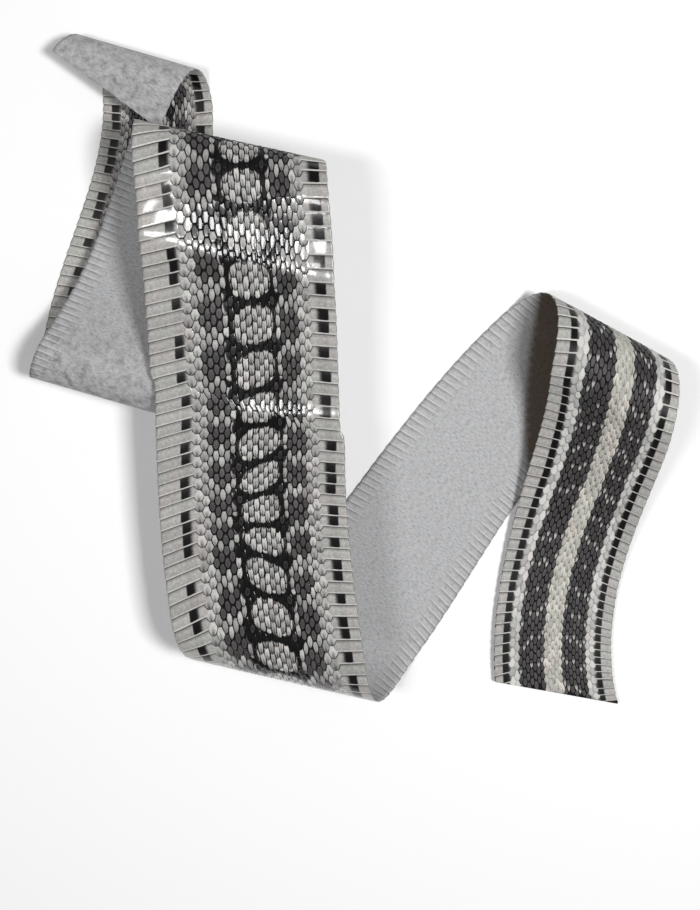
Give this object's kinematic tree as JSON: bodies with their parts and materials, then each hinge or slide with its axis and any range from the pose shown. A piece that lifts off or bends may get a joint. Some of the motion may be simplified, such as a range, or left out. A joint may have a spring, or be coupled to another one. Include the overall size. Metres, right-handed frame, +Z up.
{
  "type": "tanned snakeskin",
  "caption": "Tanned snakeskin, cut open along the belly, laid down in a loose zigzag with its scales partly up and partly down.",
  "frame": {"origin": "on the table, under the middle of the whole", "axes": "+Z up from the table, +Y towards the head end, +X towards the tail end"},
  "size_m": [0.308, 0.3312, 0.0624],
  "materials": {
    "snakeskin": "glossy scales in pale grey, black and grey-brown on one side, matte grey flesh side"
  },
  "bodies": {
    "root": {"snakeskin": "snakeskin"}
  },
  "joints": []
}
